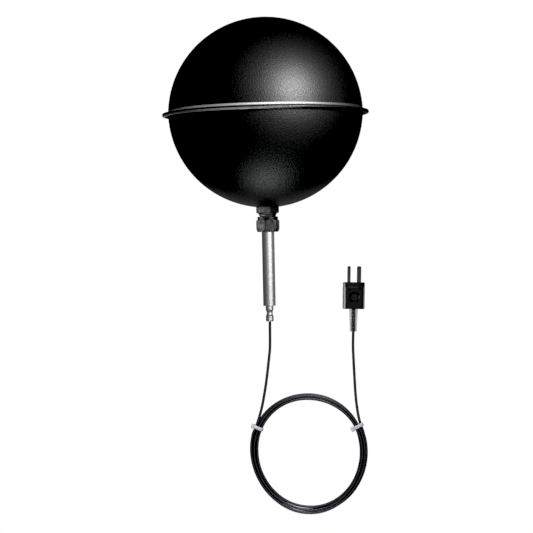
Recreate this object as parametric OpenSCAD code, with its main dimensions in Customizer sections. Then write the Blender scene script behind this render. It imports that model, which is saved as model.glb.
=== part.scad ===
// Black-globe thermometer probe: a globe on a compression fitting, a steel stem, a coiled cable and a plug.
// Lengths are in millimetres. The origin is halfway down the free stretch of the stem, where a stand grips.
// +Z runs up the stem to the globe, and the cable and plug hang in the plane of X and Z.

/* [Globe] */
// Outer diameter of the two spun halves
globe_d = 150; // [130:1:170]
// Sheet thickness of the halves
shell_t = 0.9; // [0.6:0.1:1.1]
// How much shallower than half a ball the upper half is
upper_flat = 0.7; // [0:0.1:3]
// How much shallower than half a ball the lower half is
lower_flat = 2.7; // [0:0.1:4]
// How far the rolled rim stands out from the globe
rim_lap = 4.6; // [4.2:0.1:7]
// Radius of the cove between the upper half and its rim
rim_cove = 2.2; // [1.5:0.1:2.6]

/* [Compression fitting] */
// Width across the flats of the body and of the union nut
hex_af = 16; // [15.6:0.1:18]
// Height of the body's hexagon
hex_h = 4.7; // [4:0.1:8]
// Gap between the hexagon and the union nut
neck_h = 3; // [2.5:0.1:5]
// Diameter of the threaded nose under the hexagon
nose_d = 12.8; // [12.6:0.1:13.4]
// Radius of the cove between the hexagon and the nose
neck_cove = 2.4; // [1.5:0.1:2.5]
// Height of the union nut
nut_h = 11.6; // [10:0.1:14]
// Thickness of the union nut's end wall
nut_wall = 2.8; // [2:0.1:3.6]
// Height of the round collar at the top of the union nut
collar_h = 2.6; // [1.5:0.1:3.5]
// Height of the back ferrule
back_h = 1.3; // [0.8:0.1:2]
// Diameter of the threaded spigot inside the globe
spigot_d = 13.4; // [12.6:0.1:13.8]
// Height of the lock nut inside the globe
lock_h = 4.5; // [3:0.1:7]
// Thickness of the lock washer
washer_t = 1; // [0.6:0.1:1.6]

/* [Stem and sensor] */
// Diameter of the stem
stem_d = 9.5; // [9:0.1:9.9]
// Wall of the stem
stem_wall = 0.6; // [0.4:0.1:0.8]
// Free stretch of the stem under the union nut
stem_free = 57; // [40:1:120]
// How far the stem reaches into the globe
stem_inside = 23; // [20:1:40]
// Diameter of the sensor sheath
sensor_d = 3; // [2:0.1:4]
// Outer diameter of the crimp sleeve
crimp_d = 5.9; // [5.2:0.1:6.6]
// Length of the crimp sleeve below the stem
crimp_len = 12; // [10:0.1:16]
// Depth of the crimped waist
crimp_depth = 0.7; // [0.4:0.05:0.9]

/* [Cable] */
// Diameter of the cable
cable_d = 2; // [1.6:0.1:2.2]
// Mean radius of the coil's outermost turn
coil_r = 45.8; // [40:0.1:55]
// How much longer than round the coil hangs, at each end
coil_oval = 1.1; // [0:0.1:2]
// Angle that the coil's long way leans to the left
coil_tilt = 15; // [0:1:30]
// How far the coil is pulled out towards the ties and its lowest point
coil_lobe = 0.5; // [0:0.1:0.6]
// Gap between neighbouring turns
coil_gap = 0.45; // [0.45:0.05:0.6]
// Whole turns that the cable makes before the last part turn
coil_turns = 4; // [2:2:6]
// Distance of the coil's middle to the right of the stem
coil_x = 28; // [22:0.5:34]
// Distance of the coil's middle below the stem's end
coil_drop = 113.7; // [105:0.1:140]
// Width of a cable tie's strap
tie_w = 2.6; // [2:0.1:3.6]
// Thickness of a cable tie's strap
tie_t = 0.8; // [0.7:0.1:1.2]

/* [Plug] */
// Width of the plug
plug_w = 16.4; // [15.8:0.1:18]
// Length of the plug's body
plug_l = 20.6; // [20:0.1:24]
// Thickness of the plug
plug_t = 8.2; // [7.6:0.1:9.6]
// Distance between the middles of the blades
blade_pitch = 7.9; // [7.8:0.1:8.1]
// Width of the positive blade
blade_narrow = 2.4; // [2:0.1:2.8]
// Width of the negative blade
blade_wide = 3.2; // [2.8:0.1:3.3]
// Thickness of the blades
blade_t = 0.8; // [0.6:0.1:1]
// Length of the blades outside the body
blade_len = 12.4; // [10:0.1:16]
// Length of the strain relief behind the body
relief_len = 17.3; // [14:0.1:24]
// Diameter of the strain relief at the body
relief_d = 6.4; // [5.9:0.1:7]
// Diameter of the strain relief at its tip
relief_tip_d = 5.2; // [3.8:0.1:5.4]
// Distance of the plug to the right of the stem
plug_x = 65; // [60:0.5:75]
// Height of the plug's middle above the stem's end
plug_up = 6.5; // [0:0.5:20]
// Angle that the plug leans to the right
plug_lean = 2; // [0:0.5:4]
// Angle that the plug is turned about its length
plug_turn = 8; // [0:1:15]

/* [Hidden] */
$fn = 96;

// Fits
run_gap = 0.06;
slide_gap = 0.1;
press_gap = 0.02;
seam_gap = 0.05;

// Reach past everything, overshoot of a cut, and overlap of joined forms
far = 400;
over = 1;
weld = 0.5;
// Heights up the stem
stem_bottom = -stem_free / 2;
nut_bottom = stem_free / 2;
nut_top = nut_bottom + nut_h;
hex_bottom = nut_top + neck_h;
pole = hex_bottom + hex_h;
stem_top = pole + stem_inside;

// Fitting
hex_r = hex_af / 2 / cos(30);
stem_r = stem_d / 2;
nose_r = nose_d / 2;
spigot_r = spigot_d / 2;
bore_r = stem_r + slide_gap;
washer_r = hex_r - slide_gap;
ferrule_lip = 0.8;
ferrule_nose = 1.9;
seat_wall = 0.65;
seat_len = 3;
seat_r = nose_r - seat_wall;
nut_shoulder = nut_bottom + nut_wall;
ferrule_bottom = nut_shoulder + back_h + 2 * seam_gap;
nose_bottom = ferrule_bottom + ferrule_lip;
collar_r = hex_af / 2 - slide_gap;
corner_cut = 2.4;
nut_chamfer = 0.6;
body_hex_turn = 42;
nut_hex_turn = 15;
lock_bottom = pole + shell_t + washer_t;
spigot_spare = 1.5;
spigot_top = lock_bottom + lock_h + spigot_spare;

// Globe
globe_r = globe_d / 2;
flat_spare = 0.25;
flat_r = hex_r + flat_spare;
pole_press = globe_r - sqrt(globe_r * globe_r - flat_r * flat_r);
lower_middle = pole - pole_press + globe_r;
seam = lower_middle - lower_flat;
upper_middle = seam - upper_flat;
rim_half = 1.5 * shell_t + seam_gap;
rim_r = globe_r + rim_lap;
rim_end = rim_r - rim_half;
tuck_cove = 0.9;
cove_z = rim_half + rim_cove;
cove_x = sqrt(pow(globe_r + rim_cove, 2) - pow(cove_z + upper_flat, 2));
tuck_z = -shell_t / 2 - tuck_cove;
tuck_x = sqrt(pow(globe_r + tuck_cove, 2) - pow(tuck_z - lower_flat, 2));
lip_clear = 0.6;
lip_start = tuck_x + lip_clear;

// Stem and sensor
stem_bore_r = stem_r - stem_wall;
inner_r = stem_bore_r - press_gap;
mark_bottom = nut_bottom - slide_gap;
mark_w = 1;
mark_depth = 0.2;
bush_len = 10;
end_plug_len = 8;
sensor_r = sensor_d / 2;
sensor_grip = 2;
sensor_bottom = stem_top - bush_len - sensor_grip;
sensor_tip = (pole + upper_middle + globe_r) / 2;
crimp_r = crimp_d / 2;
crimp_bottom = stem_bottom - crimp_len;
crimp_top = stem_bottom + end_plug_len;
crimp_edge = 0.8;
waist_half = 2.5;
waist_r = (waist_half * waist_half + crimp_depth * crimp_depth) / (2 * crimp_depth);
waist_share = 0.45;
waist_z = stem_bottom - waist_share * crimp_len;
cable_r = cable_d / 2;
cable_inside = 16;
cable_end_top = stem_bottom + cable_inside;
wire_r = 0.3;
wire_x = 0.6;

// Plug, in its own frame: +Z towards the blades, -Y towards the face
plug_edge = 1.2;
plug_corner = 1;
plug_front = plug_l / 2;
plug_rear = -plug_l / 2;
rear_wall = 2.8;
front_wall = 4;
side_wall = 1.9;
face_wall = 1.8;
step_len = 3.8;
step_depth = 0.4;
screw_z = -1.3;
boss_r = 2.1;
head_r = 2.8;
head_h = 1.2;
recess_depth = 1.5;
dish_r = 3.8;
dish_depth = 0.3;
shank_r = 1.1;
slot_w = 0.7;
slot_depth = 0.6;
contact_rear = -3.5;
blade_cut = 0.7;
terminal_z = 0;
terminal_head_r = 1.5;
terminal_head_h = 1.1;
terminal_r = 0.7;
hole_floor = 1;
tip_gap = 0.5;
wire_straight = 0.3;
wire_turn = 0.7;
pocket_depth = plug_t / 2 - face_wall;
pocket_rear = plug_rear + rear_wall;
pocket_front = plug_front - front_wall;
pocket_w = plug_w - 2 * side_wall;
relief_r = relief_d / 2;
relief_tip_r = relief_tip_d / 2;
relief_neck_r = 2.2;
relief_collar_r = 2.9;
relief_collar_h = 0.9;
cable_bore_r = cable_r + slide_gap;
tail_spare = 0.3;
tail_top = pocket_rear + relief_collar_h + tail_spare;
plug_at = [plug_x, 0, stem_bottom + plug_up];
plug_axis = [sin(plug_lean), 0, cos(plug_lean)];

// Coil: one tube that spirals in on the front layer, climbs, and spirals out again on the back layer
coil_at = [coil_x, 0, stem_bottom - coil_drop];
coil_pitch = cable_d + coil_gap;
coil_open = 15;
coil_first = 180 - coil_open;
coil_sweep = 180 + 2 * coil_open + 360 * coil_turns;
coil_rings = 24;
coil_sides = 6;
coil_steps = round(coil_sweep / 360 * coil_rings);
tie_angle = 27;
tie_room = 0.3;
tie_corner = 1.2;
tie_out = 1.2;
head_rise = 3;
head_thick = 3.6;
head_long = 4.1;

// Routes of the free stretches, as shares of the way across and of the way down or up
lead_shares = [
    [0.02, 0.2], [0.08, 0.3], [0.16, 0.41], [0.25, 0.52],
    [0.36, 0.63], [0.49, 0.74], [0.64, 0.83], [0.8, 0.91]
];
tail_shares = [
    [0.28, 0.08], [0.54, 0.16], [0.72, 0.26], [0.85, 0.37],
    [0.92, 0.49], [0.97, 0.61], [1.02, 0.74], [1.05, 0.88]
];
route_steps = 2;
route_sides = 8;

// Coil path
function coil_share(turned) = abs(turned - coil_sweep / 2) / 360;
function coil_reach(turned) = coil_r - coil_pitch * (coil_sweep / 720 - coil_share(turned));
function climb(turned) = min(1, max(0, (turned - coil_sweep / 2 + 90) / 180));
function coil_layer(turned) = -cos(180 * climb(turned)) * coil_pitch / 2;
function bulge(angle) = coil_lobe * sin(3 * angle) - coil_oval * cos(2 * (angle - coil_tilt));
function bulge_slope(angle) = 3 * coil_lobe * cos(3 * angle) + 2 * coil_oval * sin(2 * (angle - coil_tilt));
function spoke(angle) = [cos(angle), 0, sin(angle)];
function oval(reach, angle) = (reach + bulge(angle)) * spoke(angle);
function coil_point(turned) =
    coil_at + oval(coil_reach(turned), coil_first + turned) + [0, coil_layer(turned), 0];
function unit(v) = v / norm(v);
function flat_way(angle) =
    unit(bulge_slope(angle) * spoke(angle) + (coil_r + bulge(angle)) * spoke(angle + 90));
coil_in = coil_point(0) - cable_d * flat_way(coil_first);
coil_out = coil_point(coil_sweep) + cable_d * flat_way(coil_first + coil_sweep);
coil_path = concat(
    [coil_in],
    [for (i = [0 : coil_steps]) coil_point(coil_sweep * i / coil_steps)],
    [coil_out]
);

// Free stretches
lead_top = [0, 0, crimp_bottom];
lead_square = lead_top - [0, 0, cable_d];
tail_end = plug_at + tail_top * plug_axis;
relief_end = plug_at + (plug_rear - relief_len) * plug_axis;
relief_square = relief_end - cable_d * plug_axis;
function between(a, b, share) =
    [a[0] + share[0] * (b[0] - a[0]), a[1] + share[1] * (b[1] - a[1]), a[2] + share[1] * (b[2] - a[2])];
lead_points = concat(
    [lead_top, lead_square],
    [for (share = lead_shares) between(lead_square, coil_in, share)],
    [coil_in - cable_d * flat_way(coil_first), coil_in]
);
tail_points = concat(
    [coil_out, coil_out + cable_d * flat_way(coil_first + coil_sweep)],
    [for (share = tail_shares) between(coil_out, relief_square, share)],
    [relief_square, relief_end]
);
function bend(a, b, c, d, t) =
    b + t * (c - a) / 2 + t * t * (2 * a - 5 * b + 4 * c - d) / 2 + t * t * t * (3 * b - a - 3 * c + d) / 2;
function smooth(p, last) = concat(
    [p[0]],
    [
        for (i = [1 : last - 2], k = [0 : route_steps - 1])
            bend(p[i - 1], p[i], p[i + 1], p[i + 2], k / route_steps)
    ],
    [p[last - 1], p[last]]
);
lead_path = smooth(lead_points, len(lead_points) - 1);
tail_path = concat(smooth(tail_points, len(tail_points) - 1), [tail_end]);

// Tubes
function way(path, i) = unit(path[min(i + 1, len(path) - 1)] - path[max(i - 1, 0)]);
function across(v) = unit(cross(v, [0, 1, 0]));
function ring(middle, v, r, sides) =
    let (a = across(v), b = cross(a, v))
    [for (k = [0 : sides - 1]) middle + r * cos(360 * k / sides) * a + r * sin(360 * k / sides) * b];

module tube(path, r, sides) {
    last = len(path) - 1;
    points = [for (i = [0 : last]) each ring(path[i], way(path, i), r, sides)];
    walls = [
        for (i = [0 : last - 1], k = [0 : sides - 1])
            let (a = i * sides + k, b = i * sides + (k + 1) % sides)
            each [[a, b, b + sides], [a, b + sides, a + sides]]
    ];
    start_cap = [for (k = [1 : sides - 2]) [0, k + 1, k]];
    end_cap = [for (k = [1 : sides - 2]) [last * sides, last * sides + k, last * sides + k + 1]];
    polyhedron(points, concat(walls, start_cap, end_cap));
}

// Least gap of the coil to itself, and the length of the free cable
skip = coil_rings / 2;
coil_gaps = [
    for (i = [0 : len(coil_path) - 1], j = [i + skip : 1 : len(coil_path) - 1])
        norm(coil_path[i] - coil_path[j])
];
function path_length(p, i = 1) = i < len(p) ? norm(p[i] - p[i - 1]) + path_length(p, i + 1) : 0;
echo(least_coil_gap = min(coil_gaps) - cable_d);
echo(free_cable = path_length(lead_path) + path_length(coil_path) + path_length(tail_path));

// Globe
module right_half() {
    intersection() {
        children();
        translate([0, -far])
            square([far, 2 * far]);
    }
}

module cove(at, r, corner) {
    difference() {
        translate([min(at[0], corner[0]), min(at[1], corner[1])])
            square([abs(at[0] - corner[0]), abs(at[1] - corner[1])]);
        translate(at)
            circle(r);
    }
}

module upper_profile() {
    difference() {
        union() {
            intersection() {
                translate([0, -upper_flat])
                    circle(globe_r);
                square([far, far]);
            }
            translate([0, -rim_half])
                square([rim_end, 2 * rim_half]);
            translate([rim_end, 0])
                circle(rim_half);
            cove([cove_x, cove_z], rim_cove, [globe_r - rim_cove, 0]);
        }
        translate([0, -upper_flat])
            circle(globe_r - shell_t);
        translate([0, shell_t - rim_half])
            square([rim_end, 2 * (rim_half - shell_t)]);
        translate([rim_end, 0])
            circle(rim_half - shell_t);
        translate([0, -far])
            square([lip_start, far]);
        cove([cove_x, cove_z], rim_cove + shell_t, [globe_r - 2 * rim_cove, 0]);
    }
}

module upper_shell() {
    color("#1c1c1e")
        translate([0, 0, seam])
            rotate_extrude()
                right_half()
                    upper_profile();
}

module lower_profile() {
    difference() {
        union() {
            intersection() {
                translate([0, lower_flat])
                    circle(globe_r);
                translate([0, pole - seam])
                    square([far, seam - pole]);
            }
            translate([0, -shell_t / 2])
                square([rim_end, shell_t]);
            cove([tuck_x, tuck_z], tuck_cove, [globe_r - tuck_cove, 0]);
        }
        intersection() {
            translate([0, lower_flat])
                circle(globe_r - shell_t);
            translate([0, pole - seam + shell_t])
                square([far, far]);
        }
        cove([tuck_x, tuck_z], tuck_cove + shell_t, [globe_r - 3 * tuck_cove, shell_t]);
        translate([0, -far])
            square([spigot_r + slide_gap, far]);
    }
}

module lower_shell() {
    color("#18181a")
        translate([0, 0, seam])
            rotate_extrude()
                right_half()
                    lower_profile();
}

// Compression fitting
module hex(bottom, top, turn) {
    translate([0, 0, bottom])
        rotate([0, 0, turn])
            cylinder(r = hex_r, h = top - bottom, $fn = 6);
}

module rod(r, bottom, top) {
    translate([0, 0, bottom])
        cylinder(r = r, h = top - bottom);
}

module cone(bottom_r, top_r, bottom, top) {
    translate([0, 0, bottom])
        cylinder(r1 = bottom_r, r2 = top_r, h = top - bottom);
}

module fitting_body() {
    cove_r = nose_r + neck_cove;
    cove_bottom = hex_bottom - neck_cove;
    color("#303134")
        difference() {
            union() {
                rod(spigot_r, pole - over, spigot_top);
                hex(hex_bottom, pole, body_hex_turn);
                intersection() {
                    hex(cove_bottom, pole - over, body_hex_turn);
                    rotate_extrude()
                        difference() {
                            translate([0, cove_bottom])
                                square([cove_r, neck_cove + over]);
                            translate([cove_r, cove_bottom])
                                circle(neck_cove);
                        }
                }
                rod(nose_r, nose_bottom, pole - over);
            }
            rod(bore_r, nose_bottom - over, spigot_top + over);
            cone(seat_r, bore_r, nose_bottom, nose_bottom + seat_len);
        }
}

module lock_washer() {
    color("#8a8c90")
        difference() {
            rod(washer_r, pole + shell_t, lock_bottom);
            rod(spigot_r + slide_gap, pole, lock_bottom + over);
        }
}

module lock_nut() {
    color("#7c7e82")
        difference() {
            hex(lock_bottom, lock_bottom + lock_h, 0);
            rod(spigot_r + run_gap, lock_bottom - over, lock_bottom + lock_h + over);
        }
}

module front_ferrule() {
    slope = (seat_r - bore_r) / seat_len;
    foot_r = seat_r - run_gap;
    color("#b08d4c")
        difference() {
            union() {
                rod(foot_r, ferrule_bottom, nose_bottom);
                cone(foot_r, foot_r - slope * ferrule_nose, nose_bottom, nose_bottom + ferrule_nose);
            }
            rod(stem_r + run_gap, ferrule_bottom - over, nose_bottom + ferrule_nose + over);
        }
}

module back_ferrule() {
    bottom = nut_shoulder + seam_gap;
    color("#b08d4c")
        difference() {
            rod(seat_r - run_gap, bottom, bottom + back_h);
            rod(stem_r + run_gap, bottom - over, bottom + back_h + over);
        }
}

module union_nut() {
    hex_top = nut_top - collar_h;
    corner_slope = (hex_r - hex_af / 2) / corner_cut;
    color("#3a3b3f")
        difference() {
            union() {
                intersection() {
                    hex(nut_bottom, hex_top, nut_hex_turn);
                    cone(hex_af / 2, hex_af / 2 + nut_h * corner_slope, nut_bottom, nut_top);
                    cone(hex_r + nut_h, hex_r - nut_chamfer, hex_top - nut_h - nut_chamfer, hex_top);
                }
                rod(collar_r, hex_top - over, nut_top);
            }
            rod(nose_r + run_gap, nut_shoulder, nut_top + over);
            rod(bore_r, nut_bottom - over, nut_top);
        }
}

// Stem and sensor, with a groove round the stem that marks how far it goes into the fitting
module setting_mark() {
    difference() {
        rod(stem_d, mark_bottom, mark_bottom + mark_w);
        rod(stem_r - mark_depth, mark_bottom - over, mark_bottom + mark_w + over);
    }
}

module stem_tube() {
    color("#c9cacc")
        difference() {
            rod(stem_r, stem_bottom, stem_top);
            rod(stem_bore_r, stem_bottom - over, stem_top + over);
            setting_mark();
        }
}

module stem_top_bush() {
    color("#e4e0d4")
        difference() {
            rod(inner_r, stem_top - bush_len, stem_top);
            rod(sensor_r + press_gap, stem_top - bush_len - over, stem_top + over);
        }
}

module sensor_sheath() {
    color("#b4b5b8")
        union() {
            rod(sensor_r, sensor_bottom, sensor_tip);
            translate([0, 0, sensor_tip])
                sphere(sensor_r);
        }
}

module conductor(side) {
    translate([side * wire_x, 0, 0])
        rod(wire_r, cable_end_top, sensor_bottom);
}

module positive_wire() {
    color("#2f7d3a")
        conductor(-1);
}

module negative_wire() {
    color("#e8e8e6")
        conductor(1);
}

module stem_end_plug() {
    color("#a9aaad")
        difference() {
            rod(inner_r, stem_bottom, crimp_top);
            rod(crimp_r + press_gap, stem_bottom - over, crimp_top + over);
        }
}

module crimp_sleeve() {
    color("#bfc0c3")
        rotate_extrude()
            difference() {
                union() {
                    translate([0, crimp_bottom])
                        square([crimp_r - crimp_edge, crimp_edge]);
                    translate([crimp_r - crimp_edge, crimp_bottom + crimp_edge])
                        intersection() {
                            circle(crimp_edge);
                            translate([0, -crimp_edge])
                                square([crimp_edge, 2 * crimp_edge]);
                        }
                    translate([0, crimp_bottom + crimp_edge])
                        square([crimp_r, crimp_top - crimp_bottom - crimp_edge]);
                }
                translate([crimp_r - crimp_depth + waist_r, waist_z])
                    circle(waist_r);
                translate([0, crimp_bottom - over])
                    square([cable_r + press_gap, crimp_top - crimp_bottom + 2 * over]);
            }
}

// Cable
module cable_end() {
    color("#1d1b22")
        rod(cable_r, crimp_bottom, cable_end_top);
}

module cable_lead() {
    color("#1d1b22")
        tube(lead_path, cable_r, route_sides);
}

module cable_coil() {
    color("#232129")
        tube(coil_path, cable_r, coil_sides);
}

module cable_tail() {
    color("#1d1b22")
        tube(tail_path, cable_r, route_sides);
}

// Cable ties
tie_inner = coil_reach(180 * coil_turns + coil_open - tie_angle) - cable_r - tie_room;
tie_outer = coil_r + tie_out + cable_r + tie_room;
tie_deep = coil_pitch + cable_d + 2 * tie_room;

module rounded(w, h, r) {
    square([w - 2 * r, h], center = true);
    square([w, h - 2 * r], center = true);
    for (x = [-1, 1], y = [-1, 1])
        translate([x * (w / 2 - r), y * (h / 2 - r)])
            circle(r);
}

tie_wide = tie_outer - tie_inner;

// One tie, with its head on the outer side of the coil (1) or on the inner side (-1)
module cable_tie(angle, side) {
    along = flat_way(angle);
    translate(coil_at + oval((tie_inner + tie_outer) / 2, angle))
        rotate([0, 90 - atan2(along[2], along[0]), 0])
            union() {
                linear_extrude(tie_w, center = true)
                    difference() {
                        rounded(tie_wide + 2 * tie_t, tie_deep + 2 * tie_t, tie_corner + tie_t);
                        rounded(tie_wide, tie_deep, tie_corner);
                    }
                translate([side * ((tie_wide + head_rise) / 2 + seam_gap), -tie_room, 0])
                    cube([head_rise, head_thick, head_long], center = true);
            }
}

module tie_left() {
    color("#cfcbd6")
        cable_tie(180 - tie_angle, 1);
}

module tie_right() {
    color("#e6e3ea")
        cable_tie(tie_angle, -1);
}

// Plug
module at_plug() {
    translate(plug_at)
        rotate([0, plug_lean, 0])
            rotate([0, 0, plug_turn])
                children();
}

module bar(x0, x1, y0, y1, z0, z1) {
    translate([x0, y0, z0])
        cube([x1 - x0, y1 - y0, z1 - z0]);
}

module cross_rod(r, x, z, y0, y1) {
    translate([x, y0, z])
        rotate([-90, 0, 0])
            cylinder(r = r, h = y1 - y0);
}

module chamfered(w, h, cut) {
    x = w / 2;
    y = h / 2;
    polygon([
        [x - cut, -y], [x, cut - y], [x, y - cut], [x - cut, y],
        [cut - x, y], [-x, y - cut], [-x, cut - y], [cut - x, -y]
    ]);
}

module plug_block() {
    intersection() {
        translate([0, 0, plug_rear])
            linear_extrude(plug_l)
                chamfered(plug_w, plug_t, plug_edge);
        translate([0, plug_t / 2, 0])
            rotate([90, 0, 0])
                linear_extrude(plug_t)
                    rounded(plug_w, plug_l, plug_corner);
    }
}

module contact_slots() {
    for (blade = [[-1, blade_narrow], [1, blade_wide]]) {
        half = blade[1] / 2 + press_gap;
        middle = blade[0] * blade_pitch / 2;
        deep = blade_t / 2 + press_gap;
        bar(middle - half, middle + half, -deep, deep, contact_rear, plug_front + over);
    }
}

module relief_hole() {
    rod(relief_neck_r + press_gap, plug_rear - over, pocket_rear + weld);
    rod(relief_collar_r + press_gap, pocket_rear, tail_top);
}

module plug_base() {
    color("#1a1a1c")
        at_plug()
            difference() {
                intersection() {
                    plug_block();
                    bar(-far, far, 0, far, -far, far);
                }
                contact_slots();
                relief_hole();
                bar(-pocket_w / 2, pocket_w / 2, -over, pocket_depth, pocket_rear, contact_rear);
                bar(-far, far, plug_t / 2 - step_depth, far, plug_front - step_len, far);
                cross_rod(shank_r + press_gap, 0, screw_z, -over, plug_t / 2 - hole_floor);
                for (side = [-1, 1])
                    cross_rod(terminal_r + press_gap, side * blade_pitch / 2, terminal_z,
                        -over, plug_t / 2 - hole_floor);
            }
}

module plug_cover() {
    color("#1e1e20")
        at_plug()
            difference() {
                intersection() {
                    plug_block();
                    bar(-far, far, -far, 0, -far, far);
                }
                contact_slots();
                relief_hole();
                difference() {
                    bar(-pocket_w / 2, pocket_w / 2, -pocket_depth, over, pocket_rear, pocket_front);
                    cross_rod(boss_r, 0, screw_z, -far, far);
                }
                bar(-far, far, -far, step_depth - plug_t / 2, plug_front - step_len, far);
                cross_rod(dish_r, 0, screw_z, -far, dish_depth - plug_t / 2);
                cross_rod(head_r + slide_gap, 0, screw_z, -far, recess_depth - plug_t / 2);
                cross_rod(shank_r + slide_gap, 0, screw_z, -far, over);
            }
}

module plug_screw() {
    seat = recess_depth - plug_t / 2;
    color("#1f1f21")
        at_plug()
            difference() {
                union() {
                    cross_rod(head_r, 0, screw_z, seat - head_h, seat);
                    cross_rod(shank_r, 0, screw_z, seat - weld, plug_t / 2 - hole_floor - tip_gap);
                }
                translate([0, seat - head_h, screw_z])
                    cube([far, 2 * slot_depth, slot_w], center = true);
            }
}

module contact(side, w) {
    middle = side * blade_pitch / 2;
    tip = plug_front + blade_len;
    half = w / 2;
    at_plug()
        difference() {
            translate([middle, blade_t / 2, 0])
                rotate([90, 0, 0])
                    linear_extrude(blade_t)
                        polygon([
                            [-half, contact_rear], [half, contact_rear], [half, tip - blade_cut],
                            [half - blade_cut, tip], [blade_cut - half, tip], [-half, tip - blade_cut]
                        ]);
            cross_rod(terminal_r + press_gap, middle, terminal_z, -over, over);
        }
}

module positive_contact() {
    color("#57565a")
        contact(-1, blade_narrow);
}

module negative_contact() {
    color("#5d5c5f")
        contact(1, blade_wide);
}

module terminal_screws() {
    color("#b5b6b8")
        at_plug()
            for (side = [-1, 1])
                union() {
                    cross_rod(terminal_head_r, side * blade_pitch / 2, terminal_z,
                        -blade_t / 2 - terminal_head_h, -blade_t / 2);
                    cross_rod(terminal_r, side * blade_pitch / 2, terminal_z,
                        -blade_t / 2 - weld, plug_t / 2 - hole_floor - tip_gap);
                }
}

module bent_wire(side) {
    start = [side * wire_x, tail_top];
    middle = [side * wire_x, tail_top + wire_straight];
    corner = [side * blade_pitch / 2, contact_rear - wire_turn];
    reach = norm(corner - middle);
    rod_turn = atan2(corner[0] - middle[0], corner[1] - middle[1]);
    translate([start[0], 0, 0])
        rod(wire_r, start[1], middle[1]);
    translate([middle[0], 0, middle[1]])
        rotate([0, rod_turn, 0])
            cylinder(r = wire_r, h = reach);
    for (p = [middle, corner])
        translate([p[0], 0, p[1]])
            sphere(wire_r);
    translate([corner[0], 0, 0])
        rod(wire_r, corner[1], contact_rear);
}

module plug_wires() {
    color("#2f7d3a")
        at_plug()
            for (side = [-1, 1])
                bent_wire(side);
}

module strain_relief() {
    color("#d9dde0")
        at_plug()
            difference() {
                union() {
                    cone(relief_tip_r, relief_r, plug_rear - relief_len, plug_rear);
                    rod(relief_neck_r, plug_rear - over, pocket_rear + weld);
                    rod(relief_collar_r, pocket_rear + seam_gap, pocket_rear + relief_collar_h);
                }
                rod(cable_bore_r, plug_rear - relief_len - over, tail_top + over);
            }
}

upper_shell();
lower_shell();
fitting_body();
lock_washer();
lock_nut();
front_ferrule();
back_ferrule();
union_nut();
stem_tube();
stem_top_bush();
sensor_sheath();
positive_wire();
negative_wire();
stem_end_plug();
crimp_sleeve();
cable_end();
cable_lead();
cable_coil();
cable_tail();
tie_left();
tie_right();
strain_relief();
plug_base();
plug_cover();
plug_screw();
positive_contact();
negative_contact();
terminal_screws();
plug_wires();
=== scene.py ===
import bpy
import bmesh
import math
import numpy as np
from mathutils import Matrix, Vector


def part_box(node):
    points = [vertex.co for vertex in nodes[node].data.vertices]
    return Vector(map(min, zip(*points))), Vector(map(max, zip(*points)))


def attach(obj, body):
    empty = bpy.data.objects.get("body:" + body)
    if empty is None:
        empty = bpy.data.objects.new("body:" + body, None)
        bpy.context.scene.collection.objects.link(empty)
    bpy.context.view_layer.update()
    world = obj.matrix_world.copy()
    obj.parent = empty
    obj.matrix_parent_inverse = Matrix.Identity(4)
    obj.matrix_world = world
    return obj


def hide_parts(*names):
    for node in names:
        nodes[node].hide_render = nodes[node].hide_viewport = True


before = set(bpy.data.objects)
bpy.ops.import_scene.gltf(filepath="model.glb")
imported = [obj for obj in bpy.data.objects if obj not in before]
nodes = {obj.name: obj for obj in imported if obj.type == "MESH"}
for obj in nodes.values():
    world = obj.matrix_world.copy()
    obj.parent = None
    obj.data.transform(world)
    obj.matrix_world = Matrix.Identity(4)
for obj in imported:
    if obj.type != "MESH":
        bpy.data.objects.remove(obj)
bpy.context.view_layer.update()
scene = bpy.context.scene
# Sizes on the object are in millimetres, and the camera, the floor and the lights stand in metres
mm = 0.001
onePoint = 0.002 * mm  # points closer than this are merged
squareOn = 0.999  # cosine past which a face counts as looking straight along a direction
noiseSpread = (0.3, 0.7)  # most values of a noise pattern lie between these
print("frame loaded:", len(nodes), "nodes")


# Colours are written as sRGB hex values, and the shaders take linear ones
def linear(hexColour):
    parts = [int(hexColour[i:i + 2], 16) / 255 for i in (1, 3, 5)]
    return tuple(p / 12.92 if p <= 0.04045 else ((p + 0.055) / 1.055) ** 2.4 for p in parts) + (1.0,)


# Adds one node with its settings, and fills or links its inputs
def addNode(tree, kind, inputs=None, **settings):
    made = tree.nodes.new(kind)
    for name, value in settings.items():
        setattr(made, name, value)
    for key, value in (inputs or {}).items():
        if isinstance(value, bpy.types.NodeSocket):
            tree.links.new(value, made.inputs[key])
        else:
            made.inputs[key].default_value = value
    return made


# Starts a material, and hands back its tree, its shader and the place on the piece in metres
def newMaterial(name, **sockets):
    made = bpy.data.materials.new(name)
    made.use_nodes = True
    shader = made.node_tree.nodes["Principled BSDF"]
    for key, value in sockets.items():
        shader.inputs[key.replace("_", " ")].default_value = value
    place = addNode(made.node_tree, "ShaderNodeTexCoord").outputs["Object"]
    return made, made.node_tree, shader, place


def feed(tree, shader, **outputs):
    for key, output in outputs.items():
        tree.links.new(output, shader.inputs[key.replace("_", " ")])


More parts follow.
